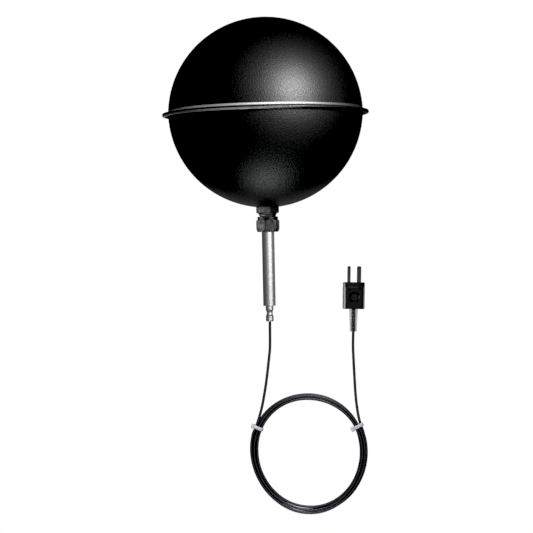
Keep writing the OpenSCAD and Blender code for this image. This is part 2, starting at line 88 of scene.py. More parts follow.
# Tone, gloss and relief follow one pattern, unless the tone or the relief is given a pattern of its own
def linkFinish(tree, shader, finish, pattern, toneBy=None, reliefBy=None):
    tone = addNode(tree, "ShaderNodeMix", {
        "Factor": pattern if toneBy is None else toneBy,
        "A": linear(finish["tones"][0]), "B": linear(finish["tones"][1]),
    }, data_type="RGBA")
    rough = addNode(tree, "ShaderNodeMapRange", {
        "Value": pattern, "From Min": noiseSpread[0], "From Max": noiseSpread[1],
        "To Min": finish["rough"][0], "To Max": finish["rough"][1],
    })
    bump = addNode(tree, "ShaderNodeBump", {
        "Height": pattern if reliefBy is None else reliefBy,
        "Strength": finish["bump"], "Distance": finish["relief"] * mm,
    })
    feed(
        tree, shader, Base_Color=tone.outputs["Result"], Roughness=rough.outputs["Result"],
        Normal=bump.outputs["Normal"],
    )


def dress(material, *names):
    for name in names:
        slots = nodes[name].data.materials
        slots.clear()
        slots.append(material)


def deselectAll():
    if bpy.context.object and bpy.context.object.mode != "OBJECT":
        bpy.ops.object.mode_set(mode="OBJECT")
    bpy.ops.object.select_all(action="DESELECT")


def activate(*pieces):
    deselectAll()
    for piece in pieces:
        piece.select_set(True)
    bpy.context.view_layer.objects.active = pieces[0]


# Goes into edit mode with only those faces or vertices selected that pass a test of their place and normal
def pick(piece, kind, test):
    bpy.ops.object.mode_set(mode="EDIT")
    bpy.ops.mesh.select_mode(type="FACE" if kind == "faces" else "VERT")
    bpy.ops.mesh.select_all(action="DESELECT")
    shape = bmesh.from_edit_mesh(piece.data)
    for part in getattr(shape, kind):
        middle = part.calc_center_median() if kind == "faces" else part.co
        if test(middle, part.normal):
            part.select_set(True)
    shape.select_flush_mode()
    bmesh.update_edit_mesh(piece.data)


# A copy of a CAD node with its loose triangles merged, ready to be worked on
def mergedCopy(node, flat=0.4):
    piece = bpy.data.objects.new(node, nodes[node].data.copy())
    scene.collection.objects.link(piece)
    activate(piece)
    bpy.ops.mesh.customdata_custom_splitnormals_clear()
    bpy.ops.object.mode_set(mode="EDIT")
    bpy.ops.mesh.select_all(action="SELECT")
    bpy.ops.mesh.remove_doubles(threshold=onePoint)
    bpy.ops.mesh.dissolve_limited(angle_limit=math.radians(flat))
    bpy.ops.object.mode_set(mode="OBJECT")
    return piece


# Rounds the sharp edges over, as tumbling or a mould leaves them
def softenEdges(piece, width, segments=3, sharp=30, clamp=False):
    activate(piece)
    bevel = piece.modifiers.new("softEdges", "BEVEL")
    bevel.limit_method = "ANGLE"
    bevel.angle_limit = math.radians(sharp)
    bevel.width = width * mm
    bevel.segments = segments
    bevel.use_clamp_overlap = clamp
    bpy.ops.object.modifier_apply(modifier=bevel.name)
    bpy.ops.object.shade_smooth_by_angle(angle=math.radians(sharp))


# A block with all its edges rounded
def roundedBlock(middle, size, edge, segments=2):
    deselectAll()
    bpy.ops.mesh.primitive_cube_add(size=1, location=Vector(middle) * mm)
    block = bpy.context.object
    block.scale = Vector(size) * mm
    bpy.ops.object.transform_apply(location=True, rotation=True, scale=True)
    bpy.ops.object.mode_set(mode="EDIT")
    bpy.ops.mesh.select_all(action="SELECT")
    bpy.ops.mesh.bevel(offset=edge * mm, segments=segments, affect="EDGES")
    bpy.ops.object.mode_set(mode="OBJECT")
    return block


def finishPiece(piece, name, body, slot, material, *replaced):
    piece.name = name
    piece.data.name = name
    piece.data.materials.clear()
    piece.data.materials.append(material)
    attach(piece, body)
    if replaced:
        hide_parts(*replaced)


# Camera, level with the middle of the stem and rolled a little, as in the photograph
photoCamera = {
    "lens": 155.4, "sensor": 36.0, "distance": 1.772, "aimX": -0.0017, "aimZ": 0.0018, "roll": 1.2,
}
cameraData = bpy.data.cameras.new("photoCamera")
cameraData.lens = photoCamera["lens"]
cameraData.sensor_width = photoCamera["sensor"]
camera = bpy.data.objects.new("photoCamera", cameraData)
camera.location = (photoCamera["aimX"], -photoCamera["distance"], photoCamera["aimZ"])
camera.rotation_euler = (math.radians(90), math.radians(photoCamera["roll"]), 0)
scene.collection.objects.link(camera)
scene.camera = camera
print("camera placed")

# Cable: out of the crimp sleeve, down into a tied coil of two layers, and up into the plug. The strands of
# the coil wander in slow waves, each given by how many go to a turn, its drift, its start and its size
cable = {
    "diameter": 2.0, "clearance": 0.02, "exit": (0, 0, -40.5),
    "coilMiddle": (28, 0, -142.2), "coilRadius": 45.3, "oval": 1.1, "tilt": 15, "lobe": 0.5,
    "pitch": 2.03, "layer": 1.03, "firstAngle": 165, "sweep": 1650, "step": 1.5, "crossing": 180,
    "wander": 0.1, "sag": 0.16, "fan": 0.25, "heldEnds": 120,
    "waves": ((3, 0.7, 0, 1), (2, 1.8, 57, 0.7)),
    "plugMiddle": (65, 0, -22), "plugLean": 2, "plugTurn": 8, "reliefTip": -27.6, "innerEnd": -6.3,
    "leadShares": (
        (0.02, 0.2), (0.08, 0.3), (0.16, 0.41), (0.25, 0.52),
        (0.36, 0.63), (0.49, 0.74), (0.64, 0.83), (0.8, 0.91),
    ),
    "tailShares": (
        (0.28, 0.08), (0.54, 0.16), (0.72, 0.26), (0.85, 0.37),
        (0.92, 0.49), (0.97, 0.61), (1.02, 0.74), (1.05, 0.88),
    ),
}
coilMiddle = np.array(cable["coilMiddle"], float)
plugMiddle = np.array(cable["plugMiddle"], float)


# How far the coil's outline stands off a circle: a leaning oval, and three soft lobes
def bulge(angle):
    pulled = cable["lobe"] * math.sin(math.radians(3 * angle))
    return pulled - cable["oval"] * math.cos(math.radians(2 * (angle - cable["tilt"])))


def spoke(angle):
    return np.array([math.cos(math.radians(angle)), 0, math.sin(math.radians(angle))])


def coilPoint(turned):
    sweep = cable["sweep"]
    angle = cable["firstAngle"] + turned
    climbed = min(1, max(0, (turned - sweep / 2) / cable["crossing"] + 0.5))
    side = -math.cos(math.pi * climbed)
    upward = math.sin(math.radians(angle))
    # The ends stay where the free stretches join
    free = min(1, turned / cable["heldEnds"], (sweep - turned) / cable["heldEnds"])
    loose = cable["wander"] + cable["sag"] * ((1 - upward) / 2) ** 2  # most at the bottom
    waves = sum(
        size * math.sin(math.radians(count * angle + drift * turned + start))
        for count, drift, start, size in cable["waves"]
    )
    inward = (sweep / 2 - abs(turned - sweep / 2)) / 360  # turns in from the nearer end
    reach = cable["coilRadius"] - cable["pitch"] * inward
    reach += free * side * cable["fan"] * (1 + upward)
    reach += free * loose * waves
    return coilMiddle + (reach + bulge(angle)) * spoke(angle) + (0, side * cable["layer"], 0)


# Turns that lie in each other are pushed a diameter apart, a little at a time
def settleTurns(points, gap, rounds=60, neighbours=60, held=40, smoothing=6, tiny=1e-6):
    count = len(points)
    rows, columns = np.indices((count, count))
    along = abs(rows - columns) < neighbours
    places = np.arange(count)
    hold = np.clip(np.minimum(places, places[::-1]) / held, 0, 1)[:, None]
    window = np.ones(2 * smoothing + 1) / (2 * smoothing + 1)
    for _ in range(rounds):
        between = points[:, None] - points[None]
        distance = np.linalg.norm(between, axis=2)
        distance[along] = np.inf
        push = np.clip(gap - distance, 0, None) / np.maximum(distance, tiny)
        touching = np.maximum((push > 0).sum(1), 1)[:, None]
        move = (between * push[:, :, None]).sum(1) / touching / 2
        padded = np.pad(move, ((smoothing, smoothing), (0, 0)), mode="edge")
        smooth = np.stack([np.convolve(padded[:, k], window, "valid") for k in range(3)], 1)
        points = points + smooth * hold
    return points


# A smooth curve through the points, with its first and last stretches straight
def smoothRoute(points, steps=6):
    knots = [np.array(point, float) for point in points]
    made = [knots[0]]
    for i in range(1, len(knots) - 2):
        before, start, end, after = knots[i - 1:i + 3]
        for k in range(steps):
            t = k / steps
            made.append(
                start + t * (end - before) / 2 + t * t * (2 * before - 5 * start + 4 * end - after) / 2
                + t ** 3 * (3 * start - before - 3 * end + after) / 2
            )
    return made + knots[-2:]


# Direction of the coil at an angle, from the slope of its outline
def coilWay(angle, step=0.5):
    before, after = [(cable["coilRadius"] + bulge(a)) * spoke(a) for a in (angle - step, angle + step)]
    return (after - before) / np.linalg.norm(after - before)


# A point given by its shares of the way across and of the way up or down
def share(start, end, part):
    return start + np.array([part[0], part[1], part[1]]) * (end - start)


turnedTo = np.arange(0, cable["sweep"] + cable["step"] / 2, cable["step"])
turns = np.array([coilPoint(turned) for turned in turnedTo])
turns = settleTurns(turns, cable["diameter"] + cable["clearance"])
wayIn = cable["diameter"] * coilWay(cable["firstAngle"])
wayOut = cable["diameter"] * coilWay(cable["firstAngle"] + cable["sweep"])
coilIn = turns[0] - wayIn
coilOut = turns[-1] + wayOut
leadTop = np.array(cable["exit"], float)
leadSquare = leadTop - (0, 0, cable["diameter"])
lean = math.radians(cable["plugLean"])
plugAxis = np.array([math.sin(lean), 0, math.cos(lean)])
reliefEnd = plugMiddle + cable["reliefTip"] * plugAxis
reliefSquare = reliefEnd - cable["diameter"] * plugAxis
cableEnd = plugMiddle + cable["innerEnd"] * plugAxis
lead = [leadTop, leadSquare] + [share(leadSquare, coilIn, part) for part in cable["leadShares"]]
lead += [coilIn - wayIn, coilIn]
tail = [coilOut, coilOut + wayOut] + [share(coilOut, reliefSquare, part) for part in cable["tailShares"]]
tail += [reliefSquare, reliefEnd]
route = np.array(smoothRoute(lead) + list(turns) + smoothRoute(tail) + [cableEnd])

cableCurve = bpy.data.curves.new("cableCord", "CURVE")
cableCurve.dimensions = "3D"
cableCurve.bevel_depth = cable["diameter"] * mm / 2
cableCurve.bevel_resolution = 4
cableCurve.use_fill_caps = True
cableSpline = cableCurve.splines.new("POLY")
cableSpline.points.add(len(route) - 1)
for point, place in zip(cableSpline.points, route):
    point.co = (*(place * mm), 1)
cableCord = bpy.data.objects.new("cableCord", cableCurve)
scene.collection.objects.link(cableCord)
activate(cableCord)
bpy.ops.object.convert(target="MESH")
cableCord = bpy.context.object
bpy.ops.object.shade_smooth_by_angle(angle=math.radians(60))

# PVC jacket, extruded: a smooth black gloss, dulled here and there by handling
jacket = {
    "tones": ("#151415", "#201f22"), "rough": (0.36, 0.5), "bump": 0.2, "relief": 0.05,
    "patch": 14, "ripple": 3.5,
}
jacketVinyl, tree, shader, place = newMaterial("black_pvc_jacket", IOR=1.53)
patch = addNode(tree, "ShaderNodeTexNoise", {
    "Vector": place, "Scale": 1 / (jacket["patch"] * mm), "Detail": 3.0,
})
ripple = addNode(tree, "ShaderNodeTexNoise", {
    "Vector": place, "Scale": 1 / (jacket["ripple"] * mm), "Detail": 2.0,
})
linkFinish(tree, shader, jacket, patch.outputs["Fac"], reliefBy=ripple.outputs["Fac"])
finishPiece(
    cableCord, "cableCord", "stem", "cable_jacket", jacketVinyl, "cable_lead", "cable_coil", "cable_tail",
)
dress(jacketVinyl, "cable_end")


# One where a place in metres lies between two limits in millimetres, fading out past them
def zone(tree, value, limits, fade):
    rise = addNode(tree, "ShaderNodeMapRange", {
        "Value": value, "From Min": (limits[0] - fade) * mm, "From Max": limits[0] * mm,
    })
    fall = addNode(tree, "ShaderNodeMapRange", {
        "Value": value, "From Min": (limits[1] + fade) * mm, "From Max": limits[1] * mm,
    })
    both = {0: rise.outputs["Result"], 1: fall.outputs["Result"]}
    return addNode(tree, "ShaderNodeMath", both, operation="MULTIPLY").outputs[0]


# Matt black stoving paint sprayed on spun metal: a fine grain that only shows in the soft highlight, drawn
# a little coarser to show. It is rubbed thin in the cove of the rolled rim and along its lower lip, and
# there the metal gleams. Towards the right (+X) that bare metal is faded to a dull grey. This is painted
# shade: the rim's right side is darkened to follow how the light falls on it
paint = {
    "tones": ("#010101", "#040404"), "grain": 0.75, "grainSpread": (0.25, 0.75), "rough": (0.428, 0.528),
    "bump": 0.8, "relief": 0.16, "worn": 6, "wornSpread": (0.3, 0.6), "wornLeast": 0.5,
    # The dull grey and the two spans across X below give painted shade on the right of the rim
    "rimHalf": 1.4, "fade": 0.3, "rimPaintedShade": "#2c2c2c",
    "cove": (2.1, 3.4), "coveMetal": "#c4c4c5", "coveRough": 0.62, "coveShadeSpan": (-10, 75),
    "lip": (-1.6, -0.1), "lipReach": (77.4, 90), "lipMetal": "#c9cacb", "lipShadeSpan": (-30, 28),
}
globePaint, tree, shader, place = newMaterial("matt_black_stoving_paint", IOR=1.5)
grain = addNode(tree, "ShaderNodeTexNoise", {
    "Vector": place, "Scale": 1 / (paint["grain"] * mm), "Detail": 0.0,
})
worn = addNode(tree, "ShaderNodeTexNoise", {
    "Vector": place, "Scale": 1 / (paint["worn"] * mm), "Detail": 3.0,
})
rubbed = addNode(tree, "ShaderNodeMapRange", {
    "Value": worn.outputs["Fac"], "From Min": paint["wornSpread"][0], "From Max": paint["wornSpread"][1],
    "To Min": paint["wornLeast"],
})
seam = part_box("upper_shell")[0][2] + paint["rimHalf"] * mm
split = addNode(tree, "ShaderNodeSeparateXYZ", {0: place})
level = addNode(tree, "ShaderNodeCombineXYZ", {"X": split.outputs["X"], "Y": split.outputs["Y"]})
reach = addNode(tree, "ShaderNodeVectorMath", {0: level.outputs[0]}, operation="LENGTH")
height = addNode(tree, "ShaderNodeMath", {0: split.outputs["Z"], 1: seam}, operation="SUBTRACT")
cove = zone(tree, height.outputs[0], paint["cove"], paint["fade"])
lipBand = zone(tree, height.outputs[0], paint["lip"], paint["fade"])
lipOuter = zone(tree, reach.outputs["Value"], paint["lipReach"], paint["fade"])
lip = addNode(tree, "ShaderNodeMath", {0: lipBand, 1: lipOuter}, operation="MULTIPLY")
lipWorn = addNode(tree, "ShaderNodeMath", {
    0: lip.outputs[0], 1: rubbed.outputs["Result"],
}, operation="MULTIPLY")
metal = addNode(tree, "ShaderNodeMath", {0: cove, 1: lipWorn.outputs[0]}, operation="MAXIMUM")
toned = addNode(tree, "ShaderNodeMix", {
    "Factor": grain.outputs["Fac"], "A": linear(paint["tones"][0]), "B": linear(paint["tones"][1]),
}, data_type="RGBA").outputs["Result"]
# Painted shade: the bare cove and lip fade to a dull grey towards +X, darkening the rim's right side
for bare, ends, mask in (("coveMetal", "coveShadeSpan", cove), ("lipMetal", "lipShadeSpan", lipWorn.outputs[0])):
    paintedShade = addNode(tree, "ShaderNodeMapRange", {
        "Value": split.outputs["X"], "From Min": paint[ends][0] * mm, "From Max": paint[ends][1] * mm,
    })
    shadedMetal = addNode(tree, "ShaderNodeMix", {
        "Factor": paintedShade.outputs["Result"], "A": linear(paint[bare]), "B": linear(paint["rimPaintedShade"]),
    }, data_type="RGBA")
    toned = addNode(tree, "ShaderNodeMix", {
        "Factor": mask, "A": toned, "B": shadedMetal.outputs["Result"],
    }, data_type="RGBA").outputs["Result"]
rough = addNode(tree, "ShaderNodeMapRange", {
    "Value": grain.outputs["Fac"], "From Min": paint["grainSpread"][0], "From Max": paint["grainSpread"][1],
    "To Min": paint["rough"][0], "To Max": paint["rough"][1],
})
gloss = addNode(tree, "ShaderNodeMix", {
    "Factor": cove, "A": rough.outputs["Result"], "B": paint["coveRough"],
}, data_type="FLOAT")
bump = addNode(tree, "ShaderNodeBump", {
    "Height": grain.outputs["Fac"], "Strength": paint["bump"], "Distance": paint["relief"] * mm,
})
feed(
    tree, shader, Base_Color=toned, Metallic=metal.outputs[0], Roughness=gloss.outputs["Result"],
    Normal=bump.outputs["Normal"],
)
dress(globePaint, "upper_shell", "lower_shell")
print("globe painted, seam at", round(seam / mm, 2), "mm")

# Steel blackened by hot oxide: dark grey metal, cloudy from the bath and rubbed paler in patches
oxide = {
    "tones": ("#565656", "#6f6f6f"), "rough": (0.6, 0.4), "bump": 0.4, "relief": 0.025,
    "cloud": 2.6, "pit": 0.45, "rubSpread": (0.42, 0.72),
}
blackSteel, tree, shader, place = newMaterial("blackened_steel", Metallic=1.0)
cloud = addNode(tree, "ShaderNodeTexNoise", {
    "Vector": place, "Scale": 1 / (oxide["cloud"] * mm), "Detail": 4.0,
})
pit = addNode(tree, "ShaderNodeTexNoise", {
    "Vector": place, "Scale": 1 / (oxide["pit"] * mm), "Detail": 2.0,
})
rubbed = addNode(tree, "ShaderNodeMapRange", {
    "Value": cloud.outputs["Fac"], "From Min": oxide["rubSpread"][0], "From Max": oxide["rubSpread"][1],
})
linkFinish(
    tree, shader, oxide, cloud.outputs["Fac"],
    toneBy=rubbed.outputs["Result"], reliefBy=pit.outputs["Fac"],
)

# Fitting: both hexagons have their edges broken, and the body's nose is turned down and gets the real
# thread that the union nut runs on. The crest and the end of its far flank are shares of the pitch
brokenEdge = {"unionNut": 0.22, "fittingBody": 0.2}
thread = {
    "nose": 6.4, "core": 5.84, "crest": 6.38, "pitch": 1.5, "bottom": 33.55, "top": 40.4,
    "crestFrom": 0.38, "crestTo": 0.5, "flankTo": 0.88, "turns": 6, "steps": 48, "tolerance": 0.02,
}
unionNut = mergedCopy("union_nut")
softenEdges(unionNut, brokenEdge["unionNut"], clamp=True)
finishPiece(unionNut, "unionNut", "nut", "dark_fitting", blackSteel, "union_nut")


# Tells the vertices of the bare nose, up to the thread's top
def onNose(co, normal):
    below = co.z < (thread["top"] + thread["tolerance"]) * mm
    return below and abs(co.xy.length - thread["nose"] * mm) < thread["tolerance"] * mm


fittingBody = mergedCopy("fitting_body")
bpy.ops.object.mode_set(mode="EDIT")
bpy.ops.mesh.select_all(action="SELECT")
bpy.ops.mesh.bisect(plane_co=(0, 0, thread["top"] * mm), plane_no=(0, 0, 1))
pick(fittingBody, "verts", onNose)
turnDown = thread["core"] / thread["nose"]
bpy.ops.transform.resize(value=(turnDown, turnDown, 1), center_override=(0, 0, 0))
bpy.ops.object.mode_set(mode="OBJECT")
softenEdges(fittingBody, brokenEdge["fittingBody"])


# Draws an open line of vertices from point to point, as a profile to be turned
def drawLine(points):
    deselectAll()
    bpy.ops.mesh.primitive_plane_add(size=mm, location=points[0])
    bpy.ops.object.transform_apply(location=True)
    bpy.ops.object.mode_set(mode="EDIT")
    bpy.ops.mesh.merge(type="CENTER")
    for start, end in zip(points, points[1:]):
        step = Vector(end) - Vector(start)
        bpy.ops.mesh.extrude_vertices_move(TRANSFORM_OT_translate={"value": step})
    bpy.ops.object.mode_set(mode="OBJECT")
    return bpy.context.object


start = thread["bottom"] - thread["pitch"]
ridge = [
    (thread["core"], 0), (thread["crest"], thread["crestFrom"]), (thread["crest"], thread["crestTo"]),
    (thread["core"], thread["flankTo"]), (thread["core"], 1),
]
noseThread = drawLine([(radius * mm, 0, (start + part * thread["pitch"]) * mm) for radius, part in ridge])
turned = noseThread.modifiers.new("thread", "SCREW")
turned.screw_offset = thread["pitch"] * mm
turned.iterations = thread["turns"]
turned.steps = thread["steps"]
turned.render_steps = thread["steps"]
bpy.ops.object.modifier_apply(modifier=turned.name)
bpy.ops.object.mode_set(mode="EDIT")
bpy.ops.mesh.select_all(action="SELECT")
bpy.ops.mesh.remove_doubles(threshold=onePoint)
bpy.ops.mesh.bisect(plane_co=(0, 0, thread["top"] * mm), plane_no=(0, 0, 1), clear_outer=True)
bpy.ops.mesh.select_all(action="SELECT")
bpy.ops.mesh.bisect(plane_co=(0, 0, thread["bottom"] * mm), plane_no=(0, 0, 1), clear_inner=True)
bpy.ops.mesh.select_all(action="SELECT")
bpy.ops.mesh.normals_make_consistent(inside=False)
bpy.ops.object.mode_set(mode="OBJECT")
bpy.ops.object.shade_smooth_by_angle(angle=math.radians(30))
activate(fittingBody, noseThread)
bpy.ops.object.join()
finishPiece(fittingBody, "fittingBody", "globe", "dark_fitting", blackSteel, "fitting_body")
print("fitting made:", len(fittingBody.data.polygons), "faces with its thread")

# Drawn stainless tube: satin grey, with fine rings round it from the last polish, drawn coarser than real
# to show
drawn = {
    "tones": ("#c6c6c5", "#dadad9"), "rough": (0.44, 0.32), "bump": 0.1, "relief": 0.03,
    "round": 9, "ring": 0.7,
}
drawnStainless, tree, shader, place = newMaterial("drawn_stainless_steel", Metallic=1.0)
rings = addNode(tree, "ShaderNodeMapping", {
    "Vector": place, "Scale": [1 / (drawn[key] * mm) for key in ("round", "round", "ring")],
})
ring = addNode(tree, "ShaderNodeTexNoise", {
    "Vector": rings.outputs["Vector"], "Scale": 1.0, "Detail": 4.0,
})
linkFinish(tree, shader, drawn, ring.outputs["Fac"])
dress(drawnStainless, "stem_tube", "sensor_sheath", "stem_end_plug")

# Turned and crimped steel sleeve: brighter than the tube, with the press's marks left in it
crimp = {"tones": ("#c6c6c6", "#ececeb"), "rough": (0.44, 0.28), "bump": 0.3, "relief": 0.015, "mark": 1.4}
crimpedSteel, tree, shader, place = newMaterial("crimped_steel", Metallic=1.0)
mark = addNode(tree, "ShaderNodeTexNoise", {
    "Vector": place, "Scale": 1 / (crimp["mark"] * mm), "Detail": 3.0,
})
linkFinish(tree, shader, crimp, mark.outputs["Fac"])
dress(crimpedSteel, "crimp_sleeve")
print("stem dressed")

# The pieces inside and the plug's screw: one noise each for a cloud of tone and gloss, at the size that
# the finish has
insideRelief = {"bump": 0.3, "relief": 0.03}
inside = {
    "zinc_plated_steel": {
        "on": ("lock_washer", "lock_nut", "terminal_screws"), "metal": 1.0,
        "tones": ("#8f9194", "#c3c4c2"), "rough": (0.42, 0.26), "grain": 1.6,
    },
    "turned_brass": {
        "on": ("front_ferrule", "back_ferrule"), "metal": 1.0,
        "tones": ("#a8823e", "#d2b067"), "rough": (0.36, 0.2), "grain": 0.9,
    },
    "machined_acetal": {
        "on": ("stem_top_bush",), "metal": 0.0,
        "tones": ("#d6d0c0", "#ece8dc"), "rough": (0.53, 0.37), "grain": 0.7,
    },
    "green_pvc_wire": {
        "on": ("positive_wire", "plug_wires"), "metal": 0.0,
        "tones": ("#256b33", "#37904a"), "rough": (0.48, 0.32), "grain": 2.0,
    },
    "white_pvc_wire": {
        "on": ("negative_wire",), "metal": 0.0,
        "tones": ("#d9d7d0", "#efeeea"), "rough": (0.48, 0.32), "grain": 2.0,
    },
    "black_oxide_screw": {
        "on": ("plug_screw",), "metal": 1.0,
        "tones": ("#424244", "#525254"), "rough": (0.48, 0.32), "grain": 0.8,
    },
}
for name, finish in inside.items():
    made, tree, shader, place = newMaterial(name, Metallic=finish["metal"])
    grain = addNode(tree, "ShaderNodeTexNoise", {
        "Vector": place, "Scale": 1 / (finish["grain"] * mm), "Detail": 4.0,
    })
    linkFinish(tree, shader, finish | insideRelief, grain.outputs["Fac"])
    dress(made, *finish["on"])
print("inner pieces dressed")

# Natural nylon: milky, a little see-through, with a dull moulded skin
nylon = {
    "tones": ("#928e9b", "#aaa6b2"), "rough": (0.35, 0.49), "bump": 0.4, "relief": 0.04,
    "grain": 0.9, "milky": 0.35, "glowDepth": 0.6,
}
naturalNylon, tree, shader, place = newMaterial(
    "natural_nylon", IOR=1.53, Subsurface_Weight=nylon["milky"], Subsurface_Radius=(1.0, 1.0, 1.0),
    Subsurface_Scale=nylon["glowDepth"] * mm,
)
grain = addNode(tree, "ShaderNodeTexNoise", {
    "Vector": place, "Scale": 1 / (nylon["grain"] * mm), "Detail": 3.0,
})
linkFinish(tree, shader, nylon, grain.outputs["Fac"])

# Cable ties: a strap pulled tight round the bundle, a rounded head with its slot, and the strap's cut end
tie = {
    "wide": 2.5, "thick": 0.8, "corner": 1.0, "slack": 0.05, "edge": 0.18, "reach": 44.2,
    "lookAlong": 1.2, "lookRound": 8,
    "headLong": 4.0, "headDeep": 3.4, "headEdge": 0.55, "headSeat": 0.32, "headForward": 0.05,
    "slotRim": 0.6, "slotDeep": 0.8, "stub": 0.5, "stubWide": 2.25,
}


# Place, outward and lengthwise directions of a tie, and the half sizes of the bundle that it holds
def bundleAt(angle):
    along = coilWay(angle)
    outward = np.array([along[2], 0, -along[0]])
    middle = coilMiddle + (tie["reach"] + bulge(angle)) * spoke(angle)
    offset = route - middle
    near = (abs(offset @ along) < tie["lookAlong"]) & (np.linalg.norm(offset, axis=1) < tie["lookRound"])
    held = np.stack([offset[near] @ outward, offset[near][:, 1]], 1)
    low, high = held.min(0), held.max(0)
    middle = middle + (low[0] + high[0]) / 2 * outward + (0, (low[1] + high[1]) / 2, 0)
    half = (high - low) / 2 + cable["diameter"] / 2 + tie["slack"]
    return Vector(middle), Vector(outward), Vector(along), half


# The strap's section is run round the bundle, straight along each side and spun at each corner
def strapLoop(half):
    thick, corner = tie["thick"], tie["corner"]
    deselectAll()
    bpy.ops.mesh.primitive_plane_add(
        size=1, location=(0, -(half[1] + thick / 2) * mm, 0), rotation=(0, math.radians(90), 0),
    )
    strap = bpy.context.object
    strap.scale = (tie["wide"] * mm, thick * mm, 1)
    bpy.ops.object.transform_apply(location=True, rotation=True, scale=True)
    bpy.ops.object.mode_set(mode="EDIT")
    bpy.ops.mesh.select_all(action="SELECT")
    bpy.ops.mesh.bevel(offset=tie["edge"] * mm, segments=2, affect="VERTICES")
    across, deep = half[0] - corner, half[1] - corner
    runs = (across, 2 * deep, 2 * across, 2 * deep, across)
    corners = ((across, -deep), (across, deep), (-across, deep), (-across, -deep))
    for k, run in enumerate(runs):
        heading = Vector((math.cos(k * math.pi / 2), math.sin(k * math.pi / 2), 0))
        bpy.ops.mesh.extrude_region_move(TRANSFORM_OT_translate={"value": heading * run * mm})
        if k < len(corners):
            middle = (corners[k][0] * mm, corners[k][1] * mm, 0)
            bpy.ops.mesh.spin(steps=6, angle=math.pi / 2, center=middle, axis=(0, 0, -1))
    # The first and the last face of the run meet inside the strap, so they are deleted
    pick(strap, "faces", lambda co, normal: abs(normal.x) > squareOn and abs(co.x) < onePoint and co.y < 0)
    bpy.ops.mesh.delete(type="ONLY_FACE")
    bpy.ops.mesh.select_all(action="SELECT")
    bpy.ops.mesh.remove_doubles(threshold=onePoint)
    bpy.ops.mesh.normals_make_consistent(inside=False)
    bpy.ops.object.mode_set(mode="OBJECT")
    return strap


def tieHead(middle, size, slotWay):
    head = roundedBlock(middle, size, tie["headEdge"], segments=3)
    pick(head, "faces", lambda co, normal: normal.dot(slotWay) > squareOn)
    bpy.ops.mesh.inset(thickness=tie["slotRim"] * mm)
    bpy.ops.mesh.extrude_region_move(TRANSFORM_OT_translate={"value": slotWay * -tie["slotDeep"] * mm})
    bpy.ops.mesh.select_all(action="SELECT")
    bpy.ops.mesh.normals_make_consistent(inside=False)
    bpy.ops.object.mode_set(mode="OBJECT")
    return head


# Each head sits on the outer or the inner side of its strap, and the cut end stands out of its slot
heads = {
    "tieLeft": {"node": "tie_left", "angle": 153, "side": 1, "rise": 2.2},
    "tieRight": {"node": "tie_right", "angle": 27, "side": -1, "rise": 2.7},
}
tiePieces = []
for name, head in heads.items():
    middle, outward, along, half = bundleAt(head["angle"])
    strap = strapLoop(half)
    slotWay = Vector((head["side"], 0, 0))
    headMiddle = slotWay * (half[0] + tie["headSeat"] + head["rise"] / 2)
    headMiddle.y = -tie["headForward"] * half[1]
    block = tieHead(headMiddle, (head["rise"], tie["headDeep"], tie["headLong"]), slotWay)
    stubMiddle = headMiddle + slotWay * (head["rise"] / 2 - tie["slotDeep"] + tie["stub"])
    stub = roundedBlock(stubMiddle, (2 * tie["stub"], tie["thick"], tie["stubWide"]), tie["edge"])
    activate(strap, block, stub)
    bpy.ops.object.join()
    deep = along.cross(outward)
    turn = Matrix((outward, deep, along)).transposed().to_4x4()
    strap.matrix_world = Matrix.Translation(middle * mm) @ turn
    bpy.ops.object.transform_apply(location=True, rotation=True, scale=True)
    bpy.ops.object.shade_smooth_by_angle(angle=math.radians(40))
    finishPiece(strap, name, "stem", "tie_nylon", naturalNylon, head["node"])
    tiePieces.append(strap)
    print("tie made:", name, "round", [round(2 * float(h), 2) for h in half], "mm")

# Glass-filled nylon from a spark-eroded mould: near black, with a fine even grain drawn a little coarser
# to show
moulded = {
    "tones": ("#060607", "#0d0d0e"), "rough": (0.24, 0.36), "bump": 0.25, "relief": 0.02, "grain": 0.5,
}
mouldedNylon, tree, shader, place = newMaterial("black_moulded_nylon", IOR=1.52)
grain = addNode(tree, "ShaderNodeTexNoise", {
    "Vector": place, "Scale": 1 / (moulded["grain"] * mm), "Detail": 2.0,
})
linkFinish(tree, shader, moulded, grain.outputs["Fac"])

# Plug: its two halves and its blades are softened copies of the solids
softEdge = {"half": 0.28, "blade": 0.14}
plugPieces = []
for node, name in (("plug_base", "plugBase"), ("plug_cover", "plugCover")):
    plugHalf = mergedCopy(node)
    softenEdges(plugHalf, softEdge["half"])
    finishPiece(plugHalf, name, "stem", "plug_plastic", mouldedNylon, node)
    plugPieces.append(plugHalf)
plugHalves = list(plugPieces)

# Polarity signs moulded on the cover, beside the blades
signs = {
    "face": -4.1, "high": 0.14, "deep": 0.5, "long": 1.8, "thick": 0.45, "edge": 0.1,
    "across": 3.95, "up": 4.6,
}
bars = [
    (-signs["across"], signs["long"], signs["thick"]),
    (-signs["across"], signs["thick"], signs["long"]),
    (signs["across"], signs["long"], signs["thick"]),
]
barPieces = []
for across, wide, tall in bars:
    middle = (across, signs["face"] - signs["high"] + signs["deep"] / 2, signs["up"])
    barPieces.append(roundedBlock(middle, (wide, signs["deep"], tall), signs["edge"]))
activate(*barPieces)
bpy.ops.object.join()
polaritySigns = bpy.context.object
plugTurn = Matrix.Rotation(math.radians(cable["plugTurn"]), 4, "Z")
plugFrame = Matrix.Translation(Vector(plugMiddle) * mm) @ Matrix.Rotation(lean, 4, "Y") @ plugTurn
polaritySigns.matrix_world = plugFrame
bpy.ops.object.transform_apply(location=True, rotation=True, scale=True)
bpy.ops.object.shade_smooth_by_angle(angle=math.radians(30))
finishPiece(polaritySigns, "polaritySigns", "stem", "plug_plastic", mouldedNylon)
plugPieces.append(polaritySigns)

